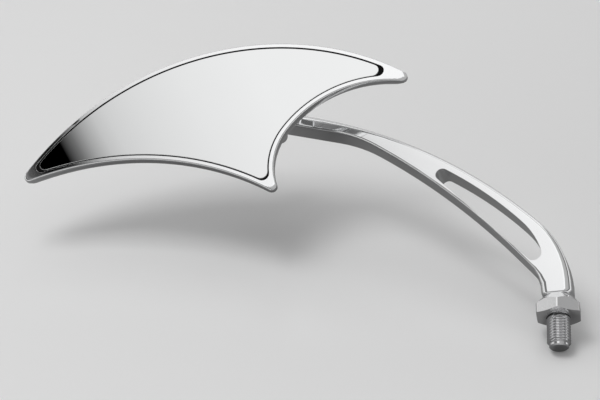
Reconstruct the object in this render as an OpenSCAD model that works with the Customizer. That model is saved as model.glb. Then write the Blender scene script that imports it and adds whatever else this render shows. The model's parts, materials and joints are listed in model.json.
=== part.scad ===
// Motorcycle mirror: a three-arc machined head on a ball joint, carried by a
// curved, slotted stem with a threaded stud and a lock nut at its foot.
// Origin: on the stud's axis, at the end of the free thread just below the
// lock nut. +Z runs up the stud, the stem reaches towards -X in the XZ plane,
// and the glass faces -Y.

/* [Head outline] */
// Radius of the long upper edge
top_r = 126.8; // [122:0.2:132]
// Radius of the concave lower edge
low_r = 133.8; // [128:0.2:142]
// Radius of the concave side edge next to the lower point
side_low_r = 30; // [28:0.5:32]
// Radius of the concave side edge next to the stem-side point
side_high_r = 50.7; // [49:0.1:52]
// Rounding of the far point
far_tip_r = 2.7; // [2:0.1:4]
// Rounding of the lower point
low_tip_r = 2.3; // [2:0.1:4]
// Rounding of the stem-side point
near_tip_r = 2.5; // [1.8:0.1:3]

/* [Head section] */
// Front face of the head to the centre of the ball
face_to_ball = 12; // [11.6:0.1:14]
// Straight part of the edge behind the front rounding
edge_t = 2.6; // [1.6:0.1:3.5]
// Rounding between front face and edge
rim_round = 0.7; // [0.3:0.1:1]
// Thickness of the head at the crown of its back
head_t = 11; // [10:0.1:11]
// Distance from the edge over which the back rises to its crown
crown_reach = 17; // [14:0.5:18]
// Width of the metal border round the recess
border_w = 2.1; // [1.6:0.1:3]
// Rounding in the corners of the recess
recess_tip_r = 3; // [2.2:0.1:4]

/* [Glass] */
// Thickness of the glass
glass_t = 2; // [1.5:0.1:3]
// Thickness of the adhesive pad behind the glass
pad_t = 0.75; // [0.5:0.05:1]
// How far the glass lies below the border
glass_sunk = 0.15; // [0.05:0.05:0.4]
// Width of the dark seal round the glass
seal_w = 0.65; // [0.4:0.05:0.9]

/* [Aim at rest] */
// Turn of the head about the vertical, from square to the stem
head_turn = 6; // [-10:0.5:10]
// Tilt of the head about its own width
head_tilt = 2.6; // [-8:0.2:8]

/* [Ball joint] */
// Radius of the ball
ball_r = 5.5; // [5:0.1:5.8]
// Outer radius of the split liner round the ball
liner_r = 7; // [6.9:0.1:7.2]
// Radius of the neck between ball and sleeve
neck_r = 3; // [2.6:0.1:3.1]
// Swing that each half of the joint allows to either side
swing = 14; // [10:0.5:14]
// Radius of the housing at its seat on the head
house_base_r = 19; // [18:0.5:21]
// Radius of the housing's flat top
house_top_r = 15.4; // [14.5:0.1:16.5]
// Top of the housing above the ball's centre
house_rise = 6.8; // [6.5:0.1:7.2]
// Radius of the circle that the housing screws lie on
screw_ring_r = 12.5; // [12:0.1:13.5]
// Radius of a housing screw
screw_r = 1.5; // [1.25:0.05:1.8]
// Length of a housing screw in the housing
screw_grip = 4.6; // [3.5:0.1:5]
// Number of housing screws
screw_count = 4; // [3:1:6]
// Thickness of the disc spring's sheet
spring_t = 0.6; // [0.4:0.05:0.8]

/* [Post] */
// Radius of the fixing thread at the end of the ball stud
shank_r = 2.5; // [2:0.1:2.7]
// Radius of the sleeve where it turns in the bush
spigot_r = 4; // [3.6:0.1:4.2]
// Radius of the sleeve's flange
flange_r = 5.5; // [5:0.1:6]
// Wall of the bush in the stem's eye
bush_wall = 0.7; // [0.5:0.05:0.9]
// Thickness of the bush's flange
bush_flange_t = 0.8; // [0.5:0.05:1.2]
// Gap between the housing's top and the stem's face
post_gap = 6.15; // [5.8:0.05:8]
// Thickness of the wave washer behind the stem
wave_t = 0.9; // [0.6:0.05:1.2]
// Thickness of the plain washer
washer_t = 1; // [0.6:0.05:1.6]
// Radius of both washers
washer_r = 6; // [5.4:0.1:7]
// Width across the flats of the dome nut
dome_af = 8; // [7:0.5:10]

/* [Stem] */
// Thickness of the stem from front to back
stem_t = 11.7; // [10.6:0.1:13]
// Distance from the stud's axis to the post's axis
reach = 135; // [130:1:138]
// Height of the post's axis above the end of the free thread
post_z = 117; // [116:0.1:118.5]
// Radius of the eye that holds the post
eye_r = 6.3; // [5.8:0.1:7]
// Radius of the large outer arc
outer_r = 266.7; // [255:1:280]
// Radius of the outer bend above the foot
outer_bend_r = 50; // [46:0.5:54]
// Radius of the long inner arc
inner_r = 360; // [340:5:380]
// Half the width of the foot above the lock nut
foot_r = 6.2; // [5.8:0.1:6.8]
// Rounding of the foot's lower end
foot_round = 0.9; // [0.4:0.1:1.2]
// Rounding of the stem's corners at the foot
foot_corner_r = 3; // [2.2:0.1:4]

/* [Slot] */
// Rounding of the slot's narrow end
slot_narrow_r = 2.9; // [2.2:0.1:3.2]
// Rounding of the slot's wide end
slot_wide_r = 3.5; // [3:0.1:4]

/* [Stud and lock nut] */
// Radius of the stud's thread
stud_r = 5; // [4:0.5:5]
// Length of the thread below the lock nut
stud_free = 12.2; // [10:0.5:30]
// Radius of the point at the stud's end
point_r = 4.1; // [3:0.1:4.1]
// Length of the point
point_len = 1.4; // [0.8:0.1:3]
// Depth of the stud in the stem's foot
stud_deep = 9.8; // [7:0.1:10.5]
// Width of the lock nut across its flats
nut_af = 18; // [16:0.5:19]
// Top of the lock nut above the end of the free thread
nut_top = 9.2; // [8:0.1:11]
// Turn of the lock nut about its axis
nut_turn = 38; // [0:1:60]

/* [Hidden] */

// Clearances: pieces that slide on each other, faces that meet, a part let in
run_play = 0.05;
face_play = 0.05;
seat_play = 0.02;
body_play = 0.3;
round_fn = 96;
over = 1;

chrome = [0.86, 0.87, 0.88];
steel = [0.62, 0.63, 0.64];
dark = [0.07, 0.07, 0.08];

// The ball's centre, and the two faces of the stem, along the row's Y
stem_front_y = -stem_t / 2;
ball_y = stem_front_y - post_gap - house_rise;

// The head is drawn in its own frame: X across, Y towards the back, Z up,
// with the ball's centre as origin. Its edges run through three sharp corners,
// the far, the lower and the stem-side one; their points are rounded later.
far_x = 110.3;
far_drop = 41.6;
low_x = 18.2;
low_drop = 57.5;
near_x = 84.5;
near_drop = 7.5;
far_corner = [-far_x, -far_drop];
low_corner = [low_x, -low_drop];
near_corner = [near_x, -near_drop];

face_y = -face_to_ball;
back_y = face_y + head_t;
recess_depth = glass_sunk + glass_t + pad_t;
recess_y = face_y + recess_depth;

// Pocket for the spring parts, cut from the back towards the recess
pocket_r = liner_r + 1.3;
pocket_y = recess_y + 1.3;
house_wall_r = liner_r + run_play;
spring_rise = 0.6;
ring_bottom = pocket_y + spring_t + spring_rise + face_play;
ring_top = -3.2;

// Heights along the post, measured from the ball's centre towards the stem
neck_len = house_rise + 2.2;
stem_face = house_rise + post_gap;
stem_rear = stem_face + stem_t;
bush_front = stem_face - bush_flange_t;
flange_end = bush_front - face_play;
washer_front = stem_rear + wave_t + face_play;
washer_rear = washer_front + washer_t;
bush_r = spigot_r + run_play + bush_wall;

// Heights of the foot on the stud
nut_z = 0.2;
foot_h = 1.6;
foot_z = nut_top + face_play;
loft_z = foot_z + foot_h;

// Place where two circles meet, on one side of the line between their centres
function circles_meet(c1, r1, c2, r2, side) =
    let (d = c2 - c1, span = norm(d), a = (span * span + r1 * r1 - r2 * r2) / (2 * span))
    c1 + a * d / span + side * sqrt(max(0, r1 * r1 - a * a)) * [-d[1], d[0]] / span;

function angle_of(v) = atan2(v[1], v[0]);
function turn_up(a, low) = a < low ? a + 360 : a;

// Centre of the circle of radius r through two points, to the left of a to b
function centre_left(a, b, r) =
    let (half = norm(b - a) / 2, up = [a[1] - b[1], b[0] - a[0]] / (2 * half))
    (a + b) / 2 + sqrt(max(0, r * r - half * half)) * up;

// Centres of the head's edge arcs. The side edge is two arcs that meet at the
// angle side_join, seen from both of their centres.
side_start = 60.3;
side_join = 145.2;
top_c = centre_left(near_corner, far_corner, top_r);
low_c = centre_left(low_corner, far_corner, low_r);
side_c = near_corner - side_high_r * [cos(side_start), sin(side_start)];
side_low_c = side_c + (side_high_r - side_low_r) * [cos(side_join), sin(side_join)];

// Points of an arc after its first point, so that arcs can follow each other
function arc(c, r, a0, a1, n) =
    [for (i = [1 : n]) let (a = a0 + (a1 - a0) * i / n) c + r * [cos(a), sin(a)]];

// Outline of the head, moved inwards by inset, with its three points rounded.
// It starts in the middle of the stem-side point, and the far point's middle
// comes half-way round, so that upper and lower points pair up across it.
function outline(inset, far_r, low_tip, near_r) =
    let (far_c = circles_meet(top_c, top_r - inset - far_r, low_c, low_r + inset + far_r, -1),
         tip_c = circles_meet(low_c, low_r + inset + low_tip,
                              side_low_c, side_low_r + inset + low_tip, 1),
         near_c = circles_meet(side_c, side_high_r + inset + near_r,
                               top_c, top_r - inset - near_r, -1),
         a_near = angle_of(near_c - top_c),
         a_side = angle_of(side_c - near_c),
         a_mid = (a_near + a_side) / 2,
         a_far = angle_of(far_c - top_c),
         a_tip = turn_up(angle_of(low_c - tip_c), 0))
    concat(
        arc(near_c, near_r, a_mid, a_near, 3),
        arc(top_c, top_r - inset, a_near, a_far, 57),
        arc(far_c, far_r, a_far, turn_up(angle_of(low_c - far_c), a_far), 6),
        arc(low_c, low_r + inset, angle_of(far_c - low_c), angle_of(tip_c - low_c), 26),
        arc(tip_c, low_tip, a_tip, turn_up(angle_of(side_low_c - tip_c), a_tip), 6),
        arc(side_low_c, side_low_r + inset, turn_up(angle_of(tip_c - side_low_c), 0), side_join, 9),
        arc(side_c, side_high_r + inset, side_join, angle_of(near_c - side_c), 16),
        arc(near_c, near_r, a_side, a_mid, 3));

// The same outline as a ring of points at one depth of the head
function head_ring(inset, y, soften) =
    [for (p = outline(inset, far_tip_r + soften, low_tip_r + soften, near_tip_r + soften))
        [p[0], y, p[1]]];

// Point and heading after a distance along legs: [length] runs straight,
// [radius, turn] bends to the left for a turn above zero
function leg_length(leg) = len(leg) == 1 ? leg[0] : leg[0] * abs(leg[1]) * PI / 180;
function along_leg(p, h, leg, s) =
    len(leg) == 1 ? [p + s * [cos(h), sin(h)], h] :
    let (side = sign(leg[1]), h2 = h + side * s / leg[0] * 180 / PI)
    [p + side * leg[0] * [sin(h2) - sin(h), cos(h) - cos(h2)], h2];
function walk(p, h, legs, s, i = 0) =
    let (part = leg_length(legs[i]))
    s <= part || i == len(legs) - 1 ? along_leg(p, h, legs[i], s) :
    let (next = along_leg(p, h, legs[i], part))
    walk(next[0], next[1], legs, s - part, i + 1);
function sum_legs(legs, i = 0) = i == len(legs) ? 0 : leg_length(legs[i]) + sum_legs(legs, i + 1);
function first_legs(legs, n) = [for (i = [0 : 1 : n - 1]) legs[i]];
function end_of(p, h, legs) = walk(p, h, legs, sum_legs(legs))[0];

// End face of a loft: a strip across a ring of n points, from its last point
function strip(n) = concat(
    [[n - 1, 0, n - 2]],
    [for (i = [1 : n / 2 - 2]) [i - 1, i, n - 2 - i, n - 1 - i]],
    [[n / 2 - 2, n / 2 - 1, n / 2]]);

// Solid between closed rings of points that all have the same, even count
module loft(rings) {
    n = len(rings[0]);
    last = len(rings) - 1;
    polyhedron(
        points = [for (ring = rings) each ring],
        faces = concat(
            strip(n),
            [for (f = strip(n)) [for (i = [len(f) - 1 : -1 : 0]) last * n + f[i]]],
            [for (k = [0 : last - 1], i = [0 : n - 1]) let (j = (i + 1) % n)
                each [[k * n + i, (k + 1) * n + i, (k + 1) * n + j],
                      [k * n + i, (k + 1) * n + j, k * n + j]]]));
}

// Places that several pieces share
module at_ball() translate([-reach, ball_y, post_z]) children();
module in_head() at_ball() rotate([head_tilt, 0, head_turn]) children();
module in_liner() at_ball() rotate([-90, 0, head_turn]) children();
module facing_back() rotate([-90, 0, 0]) children();
module plate(points, y0, y1)
    translate([0, y1, 0]) rotate([90, 0, 0]) linear_extrude(y1 - y0) polygon(points);
module on_screw_ring()
    for (k = [0 : screw_count - 1])
        rotate([0, (k + 0.5) * 360 / screw_count, 0])
            translate([screw_ring_r, 0, 0]) facing_back() children();
module ring(r_out, r_in, z0, z1)
    translate([0, 0, z0]) difference() {
        cylinder(r = r_out, h = z1 - z0, $fn = round_fn);
        translate([0, 0, -over]) cylinder(r = r_in, h = z1 - z0 + 2 * over, $fn = round_fn);
    }

// The machined head: rounded rim, crowned back, recess, seat and pocket
module head_shell() color(chrome) in_head() {
    rise = head_t - edge_t;
    steps = [1, 0.78, 0.58, 0.4, 0.26, 0.15, 0.07, 0.02];
    back = [for (t = steps) [t * crown_reach, face_y + edge_t + rise * sqrt(1 - pow(1 - t, 2))]];
    front = [[0, face_y + edge_t],
             for (a = [0 : 30 : 90]) [rim_round * (1 - cos(a)), face_y + rim_round * (1 - sin(a))]];
    difference() {
        union() {
            loft([for (row = concat(back, front)) head_ring(row[0], row[1], 0.35 * row[0])]);
            facing_back() translate([0, 0, pocket_y - 1])
                cylinder(r = house_base_r + body_play, h = back_y - pocket_y + 1, $fn = round_fn);
        }
        plate(outline(border_w, recess_tip_r, recess_tip_r, recess_tip_r), face_y - over, recess_y);
        facing_back() translate([0, 0, pocket_y])
            cylinder(r = pocket_r, h = head_t, $fn = round_fn);
        on_screw_ring() {
            translate([0, 0, face_y])
                cylinder(r = screw_r + 0.2, h = head_t + over, $fn = 32);
            translate([0, 0, recess_y - over])
                cylinder(r = 2 * screw_r, h = over + 0.2, $fn = 32);
            translate([0, 0, recess_y + 0.2])
                cylinder(r1 = 2 * screw_r, r2 = screw_r + 0.2, h = screw_r, $fn = 32);
        }
    }
}

module mirror_glass() color([0.9, 0.93, 0.95]) in_head()
    plate(outline(border_w + seal_w, recess_tip_r, recess_tip_r, recess_tip_r),
          face_y + glass_sunk, face_y + glass_sunk + glass_t);

module glass_pad() color(dark) in_head()
    plate(outline(border_w + seal_w + body_play, recess_tip_r, recess_tip_r, recess_tip_r),
          face_y + glass_sunk + glass_t + seat_play, recess_y - seat_play);

// Dark bead that fills the gap between glass and border
module glass_seal() color(dark) in_head() difference() {
    plate(outline(border_w + seat_play, recess_tip_r, recess_tip_r, recess_tip_r),
          face_y + glass_sunk + 0.25, recess_y - seat_play);
    plate(outline(border_w + seal_w - seat_play, recess_tip_r, recess_tip_r, recess_tip_r),
          face_y - over, recess_y + over);
}

// Turned cover that closes over the ball and is held by screws from the recess
module socket_housing() color(chrome) in_head() {
    base = back_y + seat_play;
    lip_z = 0.68 * house_rise;
    lip_r = lip_z * tan(1.42 * swing) + neck_r / cos(1.42 * swing) + body_play;
    mouth_r = house_rise * tan(1.42 * swing) + neck_r / cos(1.42 * swing) + body_play;
    difference() {
        facing_back() difference() {
            rotate_extrude($fn = round_fn)
                polygon([[0, base], [house_base_r - 0.4, base], [house_base_r, base + 0.4],
                         [house_base_r, base + 1], [house_top_r + 0.6, house_rise - 0.8],
                         [house_top_r + 0.2, house_rise - 0.2], [house_top_r - 0.3, house_rise],
                         [0, house_rise]]);
            sphere(r = house_wall_r, $fn = round_fn);
            translate([0, 0, base - over])
                cylinder(r = house_wall_r, h = over - base, $fn = round_fn);
            translate([0, 0, lip_z - over])
                cylinder(r = lip_r, h = over + 0.01, $fn = round_fn);
            translate([0, 0, lip_z])
                cylinder(r1 = lip_r, r2 = mouth_r, h = house_rise - lip_z, $fn = round_fn);
            translate([0, 0, house_rise - 0.01])
                cylinder(r = mouth_r, h = over, $fn = round_fn);
        }
        on_screw_ring() translate([0, 0, base - over])
            cylinder(r = screw_r, h = screw_grip + over + 0.4, $fn = 32);
    }
}

// Countersunk screws, driven from the recess and hidden by the glass
module housing_screws() color(steel) in_head() on_screw_ring() difference() {
    union() {
        translate([0, 0, recess_y + 0.2])
            cylinder(r1 = 2 * screw_r - 0.1, r2 = screw_r - seat_play, h = screw_r, $fn = 32);
        translate([0, 0, recess_y + 0.2])
            cylinder(r = screw_r - seat_play, h = back_y + screw_grip - recess_y - 0.2, $fn = 32);
    }
    translate([0, 0, recess_y])
        cylinder(r = 0.8, h = 1.1, $fn = 6);
}

module disc_spring() color(steel) in_head() facing_back()
    rotate_extrude($fn = round_fn)
        polygon([[liner_r - 2.4, pocket_y + spring_rise], [pocket_r - body_play, pocket_y],
                 [pocket_r - body_play, pocket_y + spring_t],
                 [liner_r - 2.4, pocket_y + spring_rise + spring_t]]);

// Ring that presses the liner against the ball
module pressure_ring() color(steel) in_head() facing_back() difference() {
    ring(pocket_r - body_play, 3, ring_bottom, ring_top);
    sphere(r = liner_r + run_play, $fn = round_fn);
}

// One half of the plastic liner, cut level with the ball's centre
module liner_half() difference() {
    sphere(r = liner_r, $fn = round_fn);
    sphere(r = ball_r + run_play, $fn = round_fn);
    children();
}

module liner_front() color([0.16, 0.16, 0.17]) in_liner() liner_half()
    translate([0, 0, -0.15]) cylinder(r = 2 * liner_r, h = 2 * liner_r, $fn = round_fn);

module liner_rear() color([0.16, 0.16, 0.17]) in_liner() liner_half() {
    mouth = neck_r / cos(swing) + 0.15;
    translate([0, 0, 0.15 - 2 * liner_r]) cylinder(r = 2 * liner_r, h = 2 * liner_r, $fn = round_fn);
    cylinder(r1 = mouth, r2 = mouth + liner_r * tan(swing + 1), h = liner_r, $fn = round_fn);
    translate([0, 0, 0.6 * liner_r]) cylinder(r = 2 * liner_r, h = liner_r, $fn = round_fn);
}

// Ball, neck and threaded shank, turned from one bar
module ball_stud() color(steel) at_ball() facing_back() {
    sphere(r = ball_r, $fn = round_fn);
    cylinder(r = neck_r, h = neck_len, $fn = round_fn);
    translate([0, 0, neck_len - 0.5])
        cylinder(r = shank_r, h = washer_rear + 0.55 * dome_af - neck_len + 0.5, $fn = round_fn);
}

// Turned sleeve with a bead and a flange; its spigot turns in the bush
module post_sleeve() color(chrome) at_ball() facing_back() {
    start = neck_len + seat_play;
    bead_r = flange_r - 1.2;
    rotate_extrude($fn = round_fn)
        polygon([[shank_r + seat_play, start], [bead_r - 0.6, start], [bead_r - 0.15, start + 0.25],
                 [bead_r, start + 0.7], [bead_r - 0.15, start + 1.15], [bead_r - 0.6, start + 1.4],
                 [bead_r - 0.6, start + 1.7], [flange_r - 0.4, start + 1.8],
                 [flange_r, start + 2.1], [flange_r, flange_end],
                 [spigot_r, flange_end], [spigot_r, washer_front - seat_play],
                 [shank_r + seat_play, washer_front - seat_play]]);
}

// Split wave washer that keeps the joint of the post stiff
module wave_washer() color(steel) at_ball() facing_back()
    ring(washer_r - 0.3, spigot_r + 0.2, stem_rear + face_play, washer_front - seat_play);

module plain_washer() color(steel) at_ball() facing_back()
    ring(washer_r, shank_r + 0.15, washer_front, washer_rear);

// Domed nut on the ball stud's thread, behind the stem
module dome_nut() color(chrome) at_ball() facing_back() {
    start = washer_rear + seat_play;
    flat_h = 0.5 * dome_af;
    crown_r = 0.46 * dome_af;
    difference() {
        union() {
            intersection() {
                translate([0, 0, start]) cylinder(r = dome_af / sqrt(3), h = flat_h, $fn = 6);
                translate([0, 0, start])
                    cylinder(r1 = dome_af * 0.62, r2 = dome_af * 0.5, h = flat_h, $fn = round_fn);
            }
            translate([0, 0, start + flat_h - 0.4]) cylinder(r = crown_r, h = 0.8, $fn = round_fn);
            translate([0, 0, start + flat_h + 0.4]) intersection() {
                sphere(r = crown_r, $fn = round_fn);
                cylinder(r = crown_r + over, h = crown_r, $fn = round_fn);
            }
        }
        translate([0, 0, start - over])
            cylinder(r = shank_r + seat_play, h = over + 0.6 * dome_af, $fn = round_fn);
    }
}

// Flanged plastic bush, pressed into the stem's eye
module post_bush() color([0.16, 0.16, 0.17]) at_ball() facing_back() {
    ring(flange_r, spigot_r + run_play, bush_front, stem_face - seat_play);
    ring(bush_r - seat_play, spigot_r + run_play, stem_face - bush_flange_t / 2, stem_rear);
}

// Edges of the stem in its own plane, from the foot to the eye. The outer edge
// is the bend above the foot and one long arc; the inner edge is a bend, a
// straight, the long arc, a bend and a straight.
outer_flare = 0.4;
inner_flare = 0.2;
outer_start = [foot_r + outer_flare, loft_z];
inner_start = [-foot_r - inner_flare, loft_z];
inner_bend_r = 21;
foot_straight = 12.6;
eye_bend_r = 70;
eye_straight = 35.4;
outer_legs = [[outer_bend_r, 42.95], [outer_r, 32.35]];
inner_legs = [[inner_bend_r, 39.7], [foot_straight], [inner_r, 13.8], [eye_bend_r, 18],
              [eye_straight]];

// The eye sits a little above the end of the inner edge. Where the edges would
// lead past it, the stem is drawn over to it, more and more with its height.
eye_rise = 2.264;
eye_back = 0.136;
drawn_eye = end_of(inner_start, 90, inner_legs) + [eye_back, eye_rise];
eye_shift = [-reach, post_z] - drawn_eye;
function to_eye(p) = p + pow((p[1] - loft_z) / (drawn_eye[1] - loft_z), 2) * eye_shift;

// Corner radii of the section, from the foot (t = 0) to the eye (t = 1): the
// same at the foot, then small inside, and growing outside towards the eye
bar_outer_r = 2.1;
bar_inner_r = 1.2;
function outer_round(t) =
    t < 0.5 ? max(bar_outer_r, foot_corner_r - 6.3 * t) : bar_outer_r + 3.4 * (t - 0.5);
function inner_round(t) = max(bar_inner_r, min(foot_corner_r, foot_corner_r + 0.6 - 28 * t));

// One closed section of the stem between two points of its edges, round its
// four corners
function bar_ring(out, inn, deep, ro, ri) =
    let (across = (out - inn) / norm(out - inn),
         mid = (out + inn) / 2,
         half = norm(out - inn) / 2,
         corners = [[half - ro, ro - deep, ro, -90], [half - ro, deep - ro, ro, 0],
                    [ri - half, deep - ri, ri, 90], [ri - half, ri - deep, ri, 180]])
    [for (c = corners, k = [0 : 5]) let (a = c[3] + 18 * k,
                                         u = c[0] + c[2] * cos(a),
                                         y = c[1] + c[2] * sin(a),
                                         p = mid + u * across)
        [p[0], y, p[1]]];

function stem_ring(t) =
    bar_ring(to_eye(walk(outer_start, 90, outer_legs, t * sum_legs(outer_legs))[0]),
             to_eye(walk(inner_start, 90, inner_legs, t * sum_legs(inner_legs))[0]),
             stem_t / 2, outer_round(t), inner_round(t));

// Section of the foot at an angle of its rounded lower end: 0 at the end face
function foot_ring(a) =
    let (inset = foot_round * (1 - sin(a)), z = foot_z + foot_round * (1 - cos(a)))
    bar_ring([foot_r - inset, z], [inset - foot_r, z], stem_t / 2 - inset,
             foot_corner_r - inset, foot_corner_r - inset);

// The slot, from its narrow end round the wide one; the last side is straight
slot_x = 51.9;
slot_z = 71.6;
slot_heading = 132.1;
slot_top_r = 198;
slot_side_r = 38.5;
slot_legs = [[slot_narrow_r, -167.4], [slot_top_r, -13.4], [slot_side_r, -25.4],
             [slot_wide_r, -153.8]];
slot_steps = [14, 14, 7, 14];
slot_points = [for (k = [0 : len(slot_legs) - 1], i = [0 : slot_steps[k] - 1])
    let (s = sum_legs(first_legs(slot_legs, k)) + i / slot_steps[k] * leg_length(slot_legs[k]))
    to_eye(walk([-slot_x, slot_z], slot_heading, slot_legs, s)[0])];

// The bent, slotted stem with its foot and its eye
module stem() color(chrome) difference() {
    union() {
        loft(concat([for (a = [0, 30, 60, 90]) foot_ring(a)],
                    [for (i = [0 : 44]) stem_ring(i / 44)]));
        translate([-reach, -stem_t / 2, post_z]) facing_back() {
            translate([0, 0, 0.6]) cylinder(r = eye_r, h = stem_t - 1.2, $fn = round_fn);
            cylinder(r1 = eye_r - 0.6, r2 = eye_r, h = 0.6, $fn = round_fn);
            translate([0, 0, stem_t - 0.6])
                cylinder(r1 = eye_r, r2 = eye_r - 0.6, h = 0.6, $fn = round_fn);
        }
    }
    translate([-reach, -stem_t, post_z]) facing_back()
        cylinder(r = bush_r, h = 2 * stem_t, $fn = round_fn);
    translate([0, stem_t, 0]) rotate([90, 0, 0])
        linear_extrude(2 * stem_t) polygon(slot_points);
    translate([0, 0, foot_z - over])
        cylinder(r = stud_r - 0.8 + seat_play, h = stud_deep + over + 0.4, $fn = round_fn);
}

// Threaded stud: free thread and point below the nut, plain end in the foot
module mount_stud() color(steel) {
    groove_z = 0.1;
    groove_h = 0.8;
    translate([0, 0, -stud_free - point_len]) cylinder(r = point_r, h = point_len + 0.5, $fn = round_fn);
    translate([0, 0, -stud_free]) cylinder(r = stud_r, h = stud_free + groove_z, $fn = round_fn);
    translate([0, 0, groove_z - 0.1]) cylinder(r = stud_r - 0.5, h = groove_h + 0.2, $fn = round_fn);
    translate([0, 0, groove_z + groove_h])
        cylinder(r = stud_r, h = foot_z - face_play - groove_z - groove_h, $fn = round_fn);
    translate([0, 0, foot_z - over]) cylinder(r = stud_r - 0.8, h = stud_deep + over, $fn = round_fn);
}

// Lock nut with a chamfered seat and a conical shoulder
module lock_nut() color(steel) translate([0, 0, nut_z]) rotate([0, 0, nut_turn]) difference() {
    nut_h = nut_top - nut_z;
    corner_r = nut_af / sqrt(3);
    rim_r = corner_r + 0.2;
    seat_r = nut_af / 2 - 0.75;
    seat_slope = 18;
    intersection() {
        cylinder(r = corner_r, h = nut_h, $fn = 6);
        rotate_extrude($fn = round_fn)
            polygon([[0, 0], [seat_r, 0], [rim_r, (rim_r - seat_r) * tan(seat_slope)],
                     [rim_r, nut_h - 4.6], [nut_af / 2, nut_h - 3], [foot_r + 0.2, nut_h],
                     [0, nut_h]]);
    }
    translate([0, 0, -over])
        cylinder(r = stud_r + run_play, h = nut_h + 2 * over, $fn = round_fn);
}

head_shell();
mirror_glass();
glass_pad();
glass_seal();
socket_housing();
housing_screws();
disc_spring();
pressure_ring();
liner_front();
liner_rear();
ball_stud();
post_sleeve();
wave_washer();
plain_washer();
dome_nut();
post_bush();
stem();
mount_stud();
lock_nut();
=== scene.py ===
# %% [markdown]
# # A motorcycle mirror, dressed for its picture
# The solids of the mirror come in as a fixed frame. This script lights them, gives every piece
# its finish and models anew the few pieces whose surface needs more than the solid shows: the
# polished skins of stem and head, the ground glass, the nut with its broken corners, the
# thread on the stud and the spring washer.

# %% Load the frame
import json
import math

import bmesh
import bpy
from mathutils import Matrix, Vector


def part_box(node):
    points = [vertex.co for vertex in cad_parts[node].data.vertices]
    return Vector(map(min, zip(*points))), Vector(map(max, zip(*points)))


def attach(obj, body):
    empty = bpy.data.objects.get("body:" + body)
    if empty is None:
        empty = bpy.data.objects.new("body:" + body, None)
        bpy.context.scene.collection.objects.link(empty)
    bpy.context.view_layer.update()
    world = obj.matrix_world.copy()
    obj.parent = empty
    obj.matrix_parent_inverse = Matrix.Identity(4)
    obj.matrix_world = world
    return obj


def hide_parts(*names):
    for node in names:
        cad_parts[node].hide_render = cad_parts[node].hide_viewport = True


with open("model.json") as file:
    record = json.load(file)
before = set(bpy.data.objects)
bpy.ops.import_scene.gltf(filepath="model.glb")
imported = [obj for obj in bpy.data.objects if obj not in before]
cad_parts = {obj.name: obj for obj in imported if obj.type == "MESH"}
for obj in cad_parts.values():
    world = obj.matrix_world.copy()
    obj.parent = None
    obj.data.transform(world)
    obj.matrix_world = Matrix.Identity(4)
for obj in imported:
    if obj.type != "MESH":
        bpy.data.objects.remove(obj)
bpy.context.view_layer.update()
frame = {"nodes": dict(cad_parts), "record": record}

MM = 0.001
nodes = frame["nodes"]

# %% [markdown]
# ## Camera
# The mirror lies on a table, seen from above at about a third of a right angle through a long
# lens. The camera could be laid level and the mirror tilted under it, but the solids stay where
# they are. So the camera takes its place in the mirror's own frame, in which the stud points
# straight up, and the table becomes a sloping plane. Two measured directions fix the camera:
# where it looks and what is up in its picture.

# %% Camera
SENSOR_WIDTH = 36.0
LENS_LENGTH = 108.0
CAMERA_AT = Vector((135.3, -673.1, -329.8)) * MM
CAMERA_LOOK = Vector((-0.3077, 0.8165, 0.4885)).normalized()
CAMERA_UP = Vector((0.1179, -0.4768, 0.8711))


def facing(look, up):
    """Rotation of a camera or lamp that looks along one direction, with another one up."""
    right = look.cross(up).normalized()
    return Matrix((right, right.cross(look), -look)).transposed().to_4x4()


camera_data = bpy.data.cameras.new("camera")
camera_data.sensor_width = SENSOR_WIDTH
camera_data.lens = LENS_LENGTH
camera = bpy.data.objects.new("camera", camera_data)
camera.matrix_world = Matrix.Translation(CAMERA_AT) @ facing(CAMERA_LOOK, CAMERA_UP)
bpy.context.scene.collection.objects.link(camera)
bpy.context.scene.camera = camera
bpy.context.scene.view_settings.view_transform = "Standard"
print("camera:", [round(v, 3) for v in CAMERA_AT], "lens", camera_data.lens)

# %% [markdown]
# ## Table, sky and lamp
# Polished metal shows nothing but its surroundings, so these are half of the finish.
#
# The table is a plain pale sheet with a slight gloss. On a real pale table the undersides of the
# chrome would mirror it and melt into it. A photographer stops that with black cards on the
# table, just out of the picture. Here the table does the same: it is pale to the camera, and
# darker to whatever mirrors it, most of all close to the mirror. Its underside is clear, because
# a sheet would hide the mirror from behind. The mirror stands on the tip of its stud, and the
# table falls away under the head, so the head swings to each limit without dipping into it.
#
# The sky is drawn by direction, like a studio round the mirror: a large soft box where the
# glass looks, which ends on its left in a dark flag, a strip light beyond the upper edge of the
# head, a weak fill panel on the left, and a bright band low over the horizon. The dark gaps
# between them draw the dark lines along every rounded edge. Lamps of those shapes could do the
# same, but each would need its own place and power. Directly seen, the backdrop is plain grey.
# A soft lamp in the box's place throws the shadow. It is left out of what the metal mirrors,
# because the drawn box is there already.

# %% Helpers for shader nodes
# Sockets of a Mix node that mixes colours
COLOUR_A, COLOUR_B, COLOUR_OUT = 6, 7, 2


def node_at(tree, kind, **settings):
    """A new shader node with its properties and its unlinked inputs set."""
    made = tree.nodes.new(kind)
    for name, value in settings.pop("inputs", {}).items():
        made.inputs[name].default_value = value
    for name, value in settings.items():
        setattr(made, name, value)
    return made


def grey(value):
    """Opaque grey of one value."""
    return value, value, value, 1.0


def ramp(tree, fac, stops):
    """A colour ramp of greys, from a list of (place, value)."""
    made = tree.nodes.new("ShaderNodeValToRGB")
    elements = made.color_ramp.elements
    while len(elements) < len(stops):
        elements.new(1.0)
    for element, (place, value) in zip(elements, stops):
        element.position = place
        element.color = grey(value)
    tree.links.new(fac, made.inputs["Fac"])
    return made.outputs["Color"]


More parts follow.
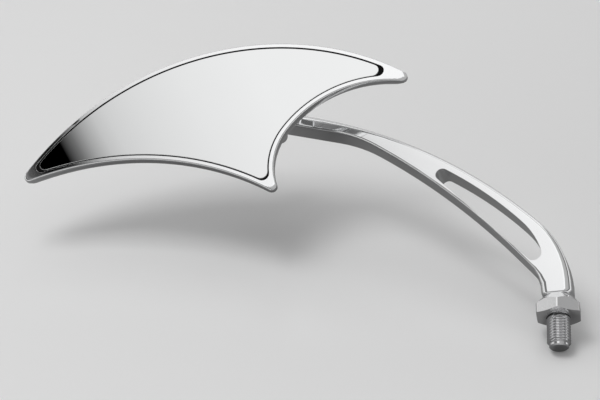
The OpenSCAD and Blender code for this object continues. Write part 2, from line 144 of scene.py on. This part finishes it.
def joined(tree, operation, first, second):
    """Two values joined into one, such as their product or the larger of them."""
    made = node_at(tree, "ShaderNodeMath", operation=operation)
    tree.links.new(first, made.inputs[0])
    tree.links.new(second, made.inputs[1])
    return made.outputs[0]


# %% Table
TABLE_UP = Vector((0.204, -0.841, 0.501)).normalized()
TABLE_DROP = 10.3 * MM
TABLE_SIZE = 12.0
TABLE_PALE = 0.9
TABLE_ROUGHNESS = 0.2
TABLE_GLOSS = 0.5
TABLE_MIRRORED = [(0.0, 0.18), (0.12, 0.22), (0.35, 0.45), (1.0, 0.7)]
TABLE_SPAN = 1.0
MIRROR_MIDDLE = Vector((-0.12, 0.0, 0.07))


def mirrored_shade(tree):
    """Grey of the table in what the metal mirrors, darkest close to the mirror."""
    place = node_at(tree, "ShaderNodeTexCoord").outputs["Object"]
    away = node_at(tree, "ShaderNodeVectorMath", operation="DISTANCE")
    away.inputs[1].default_value = MIRROR_MIDDLE
    span = node_at(tree, "ShaderNodeMath", operation="DIVIDE", use_clamp=True)
    span.inputs[1].default_value = TABLE_SPAN
    tree.links.new(place, away.inputs[0])
    tree.links.new(away.outputs["Value"], span.inputs[0])
    return ramp(tree, span.outputs[0], TABLE_MIRRORED)


def table_material():
    """Pale, slightly glossy, dark in what the metal mirrors, and clear from below."""
    made = bpy.data.materials.new("table_pale")
    made.use_nodes = True
    tree = made.node_tree
    tree.nodes.clear()
    top = node_at(tree, "ShaderNodeBsdfPrincipled",
                  inputs={"Roughness": TABLE_ROUGHNESS, "Specular IOR Level": TABLE_GLOSS})
    path = node_at(tree, "ShaderNodeLightPath")
    shade = node_at(tree, "ShaderNodeMix", data_type="RGBA")
    shade.inputs[COLOUR_A].default_value = grey(TABLE_PALE)
    tree.links.new(path.outputs["Is Glossy Ray"], shade.inputs["Factor"])
    tree.links.new(mirrored_shade(tree), shade.inputs[COLOUR_B])
    tree.links.new(shade.outputs[COLOUR_OUT], top.inputs["Base Color"])
    clear = node_at(tree, "ShaderNodeBsdfTransparent")
    side = node_at(tree, "ShaderNodeNewGeometry")
    mix = node_at(tree, "ShaderNodeMixShader")
    out = node_at(tree, "ShaderNodeOutputMaterial")
    tree.links.new(side.outputs["Backfacing"], mix.inputs["Fac"])
    tree.links.new(top.outputs[0], mix.inputs[1])
    tree.links.new(clear.outputs[0], mix.inputs[2])
    tree.links.new(mix.outputs[0], out.inputs["Surface"])
    return made


def flat_sheet(name, size, material, place):
    """A square in its own XY plane, put in place through its mesh."""
    mesh = bpy.data.meshes.new(name)
    bm = bmesh.new()
    bmesh.ops.create_grid(bm, x_segments=1, y_segments=1, size=0.5 * size)
    bmesh.ops.transform(bm, matrix=place, verts=bm.verts)
    bm.to_mesh(mesh)
    bm.free()
    mesh.materials.append(material)
    sheet = bpy.data.objects.new(name, mesh)
    bpy.context.scene.collection.objects.link(sheet)
    return sheet


table_turn = TABLE_UP.to_track_quat("Z", "Y").to_matrix().to_4x4()
table_place = Matrix.Translation(-TABLE_UP * TABLE_DROP) @ table_turn
table = flat_sheet("table", TABLE_SIZE, table_material(), table_place)
print("table:", [round(v, 4) for v in TABLE_UP])

# %% Sky
SKY_UP = Vector((0.3123, -0.8326, 0.4574)).normalized()
GLASS_MIRRORS = Vector((-0.1809, -0.8737, 0.4515)).normalized()
BOX_RIGHT = Vector((0.96, -0.058, 0.272)).normalized()
BOX_DOWN = GLASS_MIRRORS.cross(BOX_RIGHT)
BOX_SLANT = 0.24
BOX_SLANTED = BOX_RIGHT + BOX_SLANT * BOX_DOWN
SKY_BY_HEIGHT = [(0.0, 0.1), (0.5, 0.03), (0.52, 0.3), (0.56, 0.8), (0.68, 0.86), (0.72, 0.12),
                 (0.8, 0.12), (0.87, 0.42), (1.0, 0.46)]
BOX_ACROSS = [(0.0, 0.25), (0.4485, 0.14), (0.4525, 0.0), (0.4628, 0.0), (0.4635, 0.16),
              (0.467, 0.2), (0.4686, 0.42), (0.4725, 0.62), (0.477, 0.73), (0.4855, 0.81),
              (0.4995, 0.9), (0.519, 0.97), (0.5525, 1.0)]
BOX_SIDES = [(0.0, 0.0), (0.34, 0.0), (0.36, 1.0), (0.68, 1.0), (0.71, 0.0)]
BOX_ENDS = [(0.0, 0.0), (0.37, 0.0), (0.39, 1.0), (0.61, 1.0), (0.63, 0.0)]
BOX_FRONT = [(0.0, 0.0), (0.6, 0.0), (0.65, 1.0)]
STRIP_SIDES = [(0.0, 0.0), (0.3, 0.0), (0.33, 0.9), (0.8, 0.9), (0.83, 0.0)]
STRIP_ENDS = [(0.0, 0.0), (0.65, 0.0), (0.67, 1.0), (0.87, 1.0), (0.9, 0.0)]
FILL_AT = Vector((-0.85, -0.3, 0.43)).normalized()
FILL_SPREAD = [(0.0, 0.0), (0.95, 0.0), (0.965, 0.6)]
BACKDROP = 0.6
SKY_STRENGTH = 1.0


def along(tree, direction, way):
    """How far a direction points one way, from 0 for away from it to 1 for along it."""
    product = node_at(tree, "ShaderNodeVectorMath", operation="DOT_PRODUCT")
    product.inputs[1].default_value = way
    tree.links.new(direction, product.inputs[0])
    half = node_at(tree, "ShaderNodeMath", operation="MULTIPLY_ADD")
    half.inputs[1].default_value = 0.5
    half.inputs[2].default_value = 0.5
    tree.links.new(product.outputs["Value"], half.inputs[0])
    return half.outputs[0]


def drawn_sky(tree):
    """Grey by direction: band, strip, fill panel and a soft box that ends in a flag."""
    direction = node_at(tree, "ShaderNodeTexCoord").outputs["Generated"]

    def band(way, stops):
        """Grey by how far the direction points one way."""
        return ramp(tree, along(tree, direction, way), stops)

    inside = joined(tree, "MULTIPLY", band(BOX_RIGHT, BOX_SIDES), band(BOX_DOWN, BOX_ENDS))
    inside = joined(tree, "MULTIPLY", inside, band(GLASS_MIRRORS, BOX_FRONT))
    strip = joined(tree, "MULTIPLY", band(BOX_RIGHT, STRIP_SIDES), band(BOX_DOWN, STRIP_ENDS))
    panels = joined(tree, "MAXIMUM", strip, band(FILL_AT, FILL_SPREAD))
    lit = joined(tree, "MAXIMUM", band(SKY_UP, SKY_BY_HEIGHT), panels)
    blend = node_at(tree, "ShaderNodeMix", data_type="RGBA")
    tree.links.new(inside, blend.inputs["Factor"])
    tree.links.new(lit, blend.inputs[COLOUR_A])
    tree.links.new(band(BOX_SLANTED, BOX_ACROSS), blend.inputs[COLOUR_B])
    return blend.outputs[COLOUR_OUT]


def make_sky():
    """World that shows the drawn sky to the metal and a plain backdrop to the camera."""
    world = bpy.data.worlds.new("sky")
    bpy.context.scene.world = world
    world.use_nodes = True
    tree = world.node_tree
    tree.nodes.clear()
    sky = node_at(tree, "ShaderNodeBackground", inputs={"Strength": SKY_STRENGTH})
    plain = node_at(tree, "ShaderNodeBackground", inputs={"Color": grey(BACKDROP)})
    path = node_at(tree, "ShaderNodeLightPath")
    seen = node_at(tree, "ShaderNodeMixShader")
    out = node_at(tree, "ShaderNodeOutputWorld")
    tree.links.new(drawn_sky(tree), sky.inputs["Color"])
    tree.links.new(path.outputs["Is Camera Ray"], seen.inputs["Fac"])
    tree.links.new(sky.outputs[0], seen.inputs[1])
    tree.links.new(plain.outputs[0], seen.inputs[2])
    tree.links.new(seen.outputs[0], out.inputs["Surface"])


make_sky()
print("sky stops:", len(SKY_BY_HEIGHT), "soft box stops:", len(BOX_ACROSS))

# %% Soft box
BOX_AIM = Vector((-0.06, -0.03, 0.08))
BOX_AWAY = 0.9
BOX_SIZE = 0.45
BOX_WATTS = 2.6

lamp_data = bpy.data.lights.new("soft_box", "AREA")
lamp_data.shape = "SQUARE"
lamp_data.size = BOX_SIZE
lamp_data.energy = BOX_WATTS
lamp = bpy.data.objects.new("soft_box", lamp_data)
box_middle = BOX_AIM + GLASS_MIRRORS * BOX_AWAY
lamp.matrix_world = Matrix.Translation(box_middle) @ facing(-GLASS_MIRRORS, BOX_DOWN)
lamp.visible_camera = False
lamp.visible_glossy = False
bpy.context.scene.collection.objects.link(lamp)
print("soft box:", [round(v, 3) for v in lamp.matrix_world.translation])

# %% [markdown]
# ## Finishes
# No polished surface is perfect. Plating follows the last polish, so it carries a faint haze,
# hair-fine marks and a slow unevenness that bends the mirrored lines. Those three come from
# one shader group that every finish uses with its own values. It reads Object coordinates, so
# the pattern stays on the piece when a joint turns it.

# %% Shared group for worn surfaces
USUAL_MARKS = [("Roughness", 0.05), ("Spread", 0.04), ("Grain", 900.0), ("Wave", 0.02),
               ("Fine", 0.2), ("Tint", 0.04)]
MARKS_OUT = [("Roughness", "NodeSocketFloat"), ("Tint", "NodeSocketFloat"),
             ("Normal", "NodeSocketVector")]
HAZE = {"Scale": 55.0, "Detail": 4.0}
GRAIN = {"Detail": 3.0, "Roughness": 0.7}
UNEVEN = {"Scale": 22.0, "Detail": 1.0}
WAVE_HEIGHT = 1.0 * MM
GRAIN_HEIGHT = 0.02 * MM


def surface_group():
    """Group with roughness, tint and normal of a surface that was polished and handled."""
    group = bpy.data.node_groups.new("surface_marks", "ShaderNodeTree")
    for name, value in USUAL_MARKS:
        socket = group.interface.new_socket(name, in_out="INPUT", socket_type="NodeSocketFloat")
        socket.default_value = value
    for name, kind in MARKS_OUT:
        group.interface.new_socket(name, in_out="OUTPUT", socket_type=kind)
    enter = node_at(group, "NodeGroupInput")
    leave = node_at(group, "NodeGroupOutput")
    place = node_at(group, "ShaderNodeTexCoord").outputs["Object"]
    haze, grain, uneven = [node_at(group, "ShaderNodeTexNoise", inputs=values)
                           for values in (HAZE, GRAIN, UNEVEN)]
    for noise in (haze, grain, uneven):
        group.links.new(place, noise.inputs["Vector"])
    group.links.new(enter.outputs["Grain"], grain.inputs["Scale"])
    rough = node_at(group, "ShaderNodeMath", operation="MULTIPLY_ADD")
    both = joined(group, "MULTIPLY", haze.outputs["Fac"], grain.outputs["Fac"])
    group.links.new(both, rough.inputs[0])
    group.links.new(enter.outputs["Spread"], rough.inputs[1])
    group.links.new(enter.outputs["Roughness"], rough.inputs[2])
    group.links.new(rough.outputs[0], leave.inputs["Roughness"])
    keep = node_at(group, "ShaderNodeMath", operation="SUBTRACT")
    keep.inputs[0].default_value = 1.0
    tint = joined(group, "MULTIPLY", haze.outputs["Fac"], enter.outputs["Tint"])
    group.links.new(tint, keep.inputs[1])
    group.links.new(keep.outputs[0], leave.inputs["Tint"])
    wave = node_at(group, "ShaderNodeBump", inputs={"Distance": WAVE_HEIGHT})
    group.links.new(uneven.outputs["Fac"], wave.inputs["Height"])
    group.links.new(enter.outputs["Wave"], wave.inputs["Strength"])
    fine = node_at(group, "ShaderNodeBump", inputs={"Distance": GRAIN_HEIGHT})
    group.links.new(enter.outputs["Fine"], fine.inputs["Strength"])
    group.links.new(grain.outputs["Fac"], fine.inputs["Height"])
    group.links.new(wave.outputs["Normal"], fine.inputs["Normal"])
    group.links.new(fine.outputs["Normal"], leave.inputs["Normal"])
    return group


surface_marks = surface_group()
print("group inputs:", [name for name, value in USUAL_MARKS])

# %% [markdown]
# ## One finish for each material
# Chrome on head and stem differs only a little: the stem is polished by hand along its curves
# and waves more. The glass is silvered and all but perfect. The bead round it is dark rubber,
# made almost black and nearly without gloss, which is partly its own colour and partly painted
# shade of the deep gap between glass and pocket. Stud, ball, screws and washers are bright zinc,
# and the nut is satin steel, whose fine grain scatters the light. The bush in the eye and the
# liner of the ball are smooth dark
# plastic. All of them come from one function, so a finish is only its colour and its marks.

# %% Finishes
METAL, NOT_METAL = 1.0, 0.0


def finish(name, color, metallic, marks, **fixed):
    """A material from the shared group: its colour is darkened by the group's tint."""
    made = bpy.data.materials.new(name)
    made.use_nodes = True
    tree = made.node_tree
    shader = tree.nodes["Principled BSDF"]
    shader.inputs["Metallic"].default_value = metallic
    for socket, value in fixed.items():
        shader.inputs[socket.replace("_", " ")].default_value = value
    worn = node_at(tree, "ShaderNodeGroup", node_tree=surface_marks)
    for socket, value in marks.items():
        worn.inputs[socket].default_value = value
    shade = node_at(tree, "ShaderNodeMix", data_type="RGBA", blend_type="MULTIPLY")
    shade.inputs["Factor"].default_value = 1.0
    shade.inputs[COLOUR_A].default_value = (*color, 1.0)
    tree.links.new(worn.outputs["Tint"], shade.inputs[COLOUR_B])
    tree.links.new(shade.outputs[COLOUR_OUT], shader.inputs["Base Color"])
    tree.links.new(worn.outputs["Roughness"], shader.inputs["Roughness"])
    tree.links.new(worn.outputs["Normal"], shader.inputs["Normal"])
    return made


finishes = {
    "polished_head": finish("polished_head", (0.95, 0.955, 0.96), METAL,
                            {"Roughness": 0.02, "Spread": 0.1, "Wave": 0.02, "Fine": 0.06,
                             "Tint": 0.03}),
    "polished_stem": finish("polished_stem", (0.945, 0.95, 0.955), METAL,
                            {"Roughness": 0.02, "Spread": 0.12, "Wave": 0.03, "Fine": 0.08,
                             "Tint": 0.04}),
    "mirror_glass": finish("mirror_glass", (0.865, 0.872, 0.873), METAL,
                           {"Roughness": 0.0, "Spread": 0.01, "Wave": 0.0, "Fine": 0.0,
                            "Tint": 0.015}),
    # Almost black and of little gloss: partly the rubber's own colour, partly painted shade of
    # the deep gap round the glass.
    "dark_seal": finish("dark_seal", (0.003, 0.003, 0.003), NOT_METAL,
                        {"Roughness": 0.55, "Spread": 0.3, "Wave": 0.05, "Fine": 0.3},
                        Specular_IOR_Level=0.12),
    "steel": finish("steel", (0.8, 0.8, 0.81), METAL,
                    {"Roughness": 0.05, "Spread": 0.12, "Wave": 0.05, "Fine": 0.2,
                     "Tint": 0.15}),
    "nut_steel": finish("nut_steel", (0.88, 0.88, 0.885), METAL,
                        {"Roughness": 0.1, "Spread": 0.2, "Grain": 1400.0, "Wave": 0.05,
                         "Fine": 0.8, "Tint": 0.12}),
    "plastic": finish("plastic", (0.02, 0.02, 0.022), NOT_METAL,
                      {"Roughness": 0.35, "Spread": 0.2, "Wave": 0.05}),
}
print("finishes:", sorted(finishes))

# %% Finish every solid
record = frame["record"]
slot_of = {part["node"]: part["material_slot"] for part in record["subparts"]}
body_of = {name: body for body, names in record["behaviour"]["bodies"].items() for name in names}
for name, solid in nodes.items():
    solid.data.materials.clear()
    solid.data.materials.append(finishes[slot_of[name]])
print("dressed solids:", len(slot_of))

# %% [markdown]
# ## Smooth skins for stem, head and glass
# The stem is forged and polished, and the head is milled from a plate and plated, so light runs
# along them without a break. Their solids are lofted from many small flats, and every flat would
# show as its own little mirror. New surfaces drawn over them could drift away from the solids.
# A copy of each solid keeps the exact shape instead: its loose triangles are merged, flat
# regions become single faces, real edges stay sharp, and everything else is shaded smoothly
# with normals that lean to the larger face, as polished metal does beside an edge.

# %% Helpers for pieces
TINY = 0.002 * MM
FLAT_WITHIN = math.radians(0.25)
LEAN = 80


def merged_solid(name):
    """Mesh of a solid with its triangles joined into one skin."""
    bm = bmesh.new()
    bm.from_mesh(nodes[name].data)
    bmesh.ops.remove_doubles(bm, verts=bm.verts, dist=TINY)
    bmesh.ops.dissolve_limit(bm, angle_limit=FLAT_WITHIN, verts=bm.verts, edges=bm.edges)
    return bm


def break_edges(bm, edges, width, segments):
    """Bevel sharp edges as a file or a grinding wheel breaks them."""
    bmesh.ops.bevel(bm, geom=edges, offset=width, segments=segments, profile=0.5,
                    affect="EDGES", material=-1, clamp_overlap=True)


def add_piece(bm, name, replaced, sharp_from):
    """A finished piece from a mesh: it stands for a solid, rides on its body, has its finish."""
    for edge in bm.edges:
        edge.smooth = edge.is_manifold and edge.calc_face_angle(0.0) < math.radians(sharp_from)
    for face in bm.faces:
        face.smooth = True
    mesh = bpy.data.meshes.new(name)
    bm.to_mesh(mesh)
    bm.free()
    mesh.materials.append(finishes[slot_of[replaced]])
    piece = bpy.data.objects.new(name, mesh)
    bpy.context.scene.collection.objects.link(piece)
    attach(piece, body_of[replaced])
    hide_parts(replaced)
    print(name, "faces:", len(mesh.polygons), "vertices:", len(mesh.vertices))
    return piece


def lean_normals(piece):
    """Shade beside an edge by the larger face, with the sharp edges kept."""
    even = piece.modifiers.new("larger_face", "WEIGHTED_NORMAL")
    even.mode = "FACE_AREA"
    even.weight = LEAN
    even.keep_sharp = True


# %% Stem skin
lean_normals(add_piece(merged_solid("stem"), "stem_skin", "stem", sharp_from=38.0))

# %% [markdown]
# ## Broken edge round the glass pocket
# The cutter leaves a knife edge where the head's front drops into the pocket for the glass, and
# the polisher breaks it. The narrow slope shows as a thin light line round the dark bead. Only
# square edges in the plane of the front are bevelled. The outer rim is rounded in the solid
# already and stays as it is.

# %% Head skin
HEAD_FRONT = Vector((0.1044, -0.9935, -0.0454))
POCKET_CORNER = math.radians(80.0)
POCKET_BREAK = 0.3 * MM


def towards_front(vert):
    """How far a vertex lies along the way that the head's front looks."""
    return vert.co.dot(HEAD_FRONT)


bm = merged_solid("head_shell")
front_at = max(towards_front(vert) for vert in bm.verts)
pocket_rim = [edge for edge in bm.edges
              if edge.is_manifold and edge.calc_face_angle_signed(0.0) > POCKET_CORNER
              and min(towards_front(vert) for vert in edge.verts) > front_at - TINY]
print("edges round the pocket:", len(pocket_rim))
break_edges(bm, pocket_rim, POCKET_BREAK, segments=2)
lean_normals(add_piece(bm, "head_shell_skin", "head_shell", sharp_from=50.0))

# %% [markdown]
# ## Glass with a ground edge
# The edge of mirror glass is ground, which leaves a narrow slope that catches the light as a
# fine line all round. It is a bevel on the rim of the front face only.

# %% Glass
GLASS_GRIND = 0.2 * MM

bm = merged_solid("mirror_glass")
front = min(bm.faces, key=lambda face: face.normal.y * face.calc_area())
break_edges(bm, list(front.edges), GLASS_GRIND, segments=2)
lean_normals(add_piece(bm, "glass_plate", "mirror_glass", sharp_from=60.0))

# %% [markdown]
# ## Lock nut with broken corners
# A nut is cut from drawn hexagon bar. Its six upright corners are never knife-sharp: a narrow
# flat runs down each one, which shows as a bright line. Only the edges that stand between two
# flats are bevelled, in one step, so the turned slopes above and below stay as cut.

# %% Lock nut
CORNER_CUT = 0.52 * MM
CORNER_TURNS = (50.0, 70.0)
UPRIGHT_FROM = 0.9


def is_upright_corner(edge):
    """Whether an edge stands between two flats of the hexagon."""
    if not edge.is_manifold:
        return False
    least, most = CORNER_TURNS
    rise = abs(edge.verts[0].co.z - edge.verts[1].co.z)
    turn = math.degrees(edge.calc_face_angle(0.0))
    return least < turn < most and rise > UPRIGHT_FROM * edge.calc_length()


bm = merged_solid("lock_nut")
corners = [edge for edge in bm.edges if is_upright_corner(edge)]
print("upright corners:", len(corners))
break_edges(bm, corners, CORNER_CUT, segments=1)
add_piece(bm, "cut_nut", "lock_nut", sharp_from=22.0)

# %% [markdown]
# ## Thread on the stud
# The stud ends in an M10 thread with a pitch of 1.25 mm, and its turns are plain to see below
# the nut. A bump could fake them, but their outline would stay straight. So one tooth of the
# profile is swept along the screw line: the spin operator turns it and moves it up the axis at
# the same time. The turns close up to one skin when their doubles are merged. Below the thread
# is a plain point that finds the hole, and above it a plain shank that sits in the stem's foot.

# %% Threaded stud
PITCH = 1.25 * MM
CREST_R = 5.0 * MM
CREST_ROUND = 0.04 * MM
ROOT_R = 4.25 * MM
ROOT_ROUND = 0.05 * MM
THREAD_LOW = -12.2 * MM
THREAD_HIGH = 0.1 * MM
STEPS_A_TURN = 48
CUT_WITHIN = 1e-7
POINT_R = 4.1 * MM
POINT_CHAMFER = 0.5 * MM
POINT_SLOPE = 1.1
POINT_OVERLAP = 0.2 * MM
NECK_OVERLAP = 0.1 * MM
NECK_HIGH = 1.2 * MM
SHANK_R = CREST_R - 0.1 * MM
SHANK_LOW = 1.4 * MM
SHANK_HIGH = 8.6 * MM
TIP_R = ROOT_R - 0.1 * MM
TIP_LOW = 9.2 * MM
STEPS_ROUND = 64
ORIGIN = (0, 0, 0)
UPWARD = (0, 0, 1)
STUD_LOW, STUD_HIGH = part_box("mount_stud")


def open_line(bm, points):
    """Edges through points given as (radius, height), in the XZ plane."""
    verts = [bm.verts.new((radius, 0.0, height)) for radius, height in points]
    return verts, [bm.edges.new(pair) for pair in zip(verts, verts[1:])]


def turned(bm, points, steps):
    """Full turn of a profile about the Z axis."""
    verts, edges = open_line(bm, points)
    bmesh.ops.spin(bm, geom=verts + edges, cent=ORIGIN, axis=UPWARD, dvec=ORIGIN,
                   angle=math.tau, steps=steps, use_merge=True)


def cap_openings(bm):
    """Close every open loop with a face."""
    rims = [edge for edge in bm.edges if edge.is_boundary]
    bmesh.ops.holes_fill(bm, edges=rims, sides=0)


def screwed_tooth(bm):
    """One tooth swept up the screw line, at least a turn past the thread at either end."""
    turns = math.ceil((THREAD_HIGH - THREAD_LOW) / PITCH) + 2
    low = THREAD_LOW - PITCH
    tooth = [(ROOT_R, 0.0), (ROOT_R, 0.09), (ROOT_R + ROOT_ROUND, 0.16),
             (CREST_R - CREST_ROUND, 0.42), (CREST_R, 0.46), (CREST_R, 0.58),
             (CREST_R - CREST_ROUND, 0.62), (ROOT_R + ROOT_ROUND, 0.88), (ROOT_R, 0.95),
             (ROOT_R, 1.0)]
    verts, edges = open_line(bm, [(radius, low + part * PITCH) for radius, part in tooth])
    bmesh.ops.spin(bm, geom=verts + edges, cent=ORIGIN, axis=UPWARD,
                   dvec=(0, 0, PITCH / STEPS_A_TURN), angle=math.tau * turns,
                   steps=turns * STEPS_A_TURN)
    bmesh.ops.remove_doubles(bm, verts=bm.verts, dist=TINY)


def thread_skin():
    """Closed skin of the free thread, cut level at both ends and chamfered at the lower one."""
    bm = bmesh.new()
    screwed_tooth(bm)
    for height, side in ((THREAD_LOW, -1.0), (THREAD_HIGH, 1.0)):
        bmesh.ops.bisect_plane(bm, geom=bm.verts[:] + bm.edges[:] + bm.faces[:], dist=CUT_WITHIN,
                               plane_co=(0, 0, height), plane_no=(0, 0, side), clear_outer=True)
    for vert in bm.verts:
        room = POINT_R + POINT_SLOPE * (vert.co.z - THREAD_LOW)
        radius = vert.co.xy.length
        if radius > room:
            vert.co.xy *= room / radius
    cap_openings(bm)
    return bm


def add_plain_ends(bm):
    """Plain point below the thread, and neck, shank and tip above it."""
    low, high = STUD_LOW.z, STUD_HIGH.z
    point_high = THREAD_LOW + POINT_OVERLAP
    neck_low = THREAD_HIGH - NECK_OVERLAP
    turned(bm, [(0.0, low), (POINT_R - POINT_CHAMFER, low), (POINT_R, low + POINT_CHAMFER),
                (POINT_R, point_high), (0.0, point_high)], STEPS_ROUND)
    turned(bm, [(0.0, neck_low), (ROOT_R, neck_low), (ROOT_R, NECK_HIGH), (SHANK_R, SHANK_LOW),
                (SHANK_R, SHANK_HIGH), (TIP_R, TIP_LOW), (TIP_R, high), (0.0, high)],
           STEPS_ROUND)


bm = thread_skin()
add_plain_ends(bm)
bmesh.ops.remove_doubles(bm, verts=bm.verts, dist=TINY)
bmesh.ops.recalc_face_normals(bm, faces=bm.faces)
add_piece(bm, "threaded_stud", "mount_stud", sharp_from=28.0)

# %% [markdown]
# ## Wave washer
# A wave washer is a flat ring of spring sheet that is bent into three waves. The ring is spun
# from its small rectangle, and then every vertex moves along the axis by its wave.

# %% Wave washer
WAVES = 3
SHEET = 0.35 * MM
WASHER_BORE_R = 4.2 * MM
WASHER_STEPS = 96
washer_low, washer_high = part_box("wave_washer")
washer_at = (washer_low + washer_high) / 2
washer_r = (washer_high.x - washer_low.x) / 2
sway = (washer_high.y - washer_low.y - SHEET) / 2

bm = bmesh.new()
turned(bm, [(WASHER_BORE_R, -SHEET / 2), (washer_r, -SHEET / 2), (washer_r, SHEET / 2),
            (WASHER_BORE_R, SHEET / 2), (WASHER_BORE_R, -SHEET / 2)], WASHER_STEPS)
bmesh.ops.remove_doubles(bm, verts=bm.verts, dist=TINY)
for vert in bm.verts:
    vert.co.z += sway * math.sin(WAVES * math.atan2(vert.co.y, vert.co.x))
onto_post = Matrix.Rotation(math.radians(-90), 3, "X")
bmesh.ops.rotate(bm, cent=ORIGIN, matrix=onto_post, verts=bm.verts)
bmesh.ops.translate(bm, vec=washer_at, verts=bm.verts)
bmesh.ops.recalc_face_normals(bm, faces=bm.faces)
add_piece(bm, "spring_washer", "wave_washer", sharp_from=40.0)
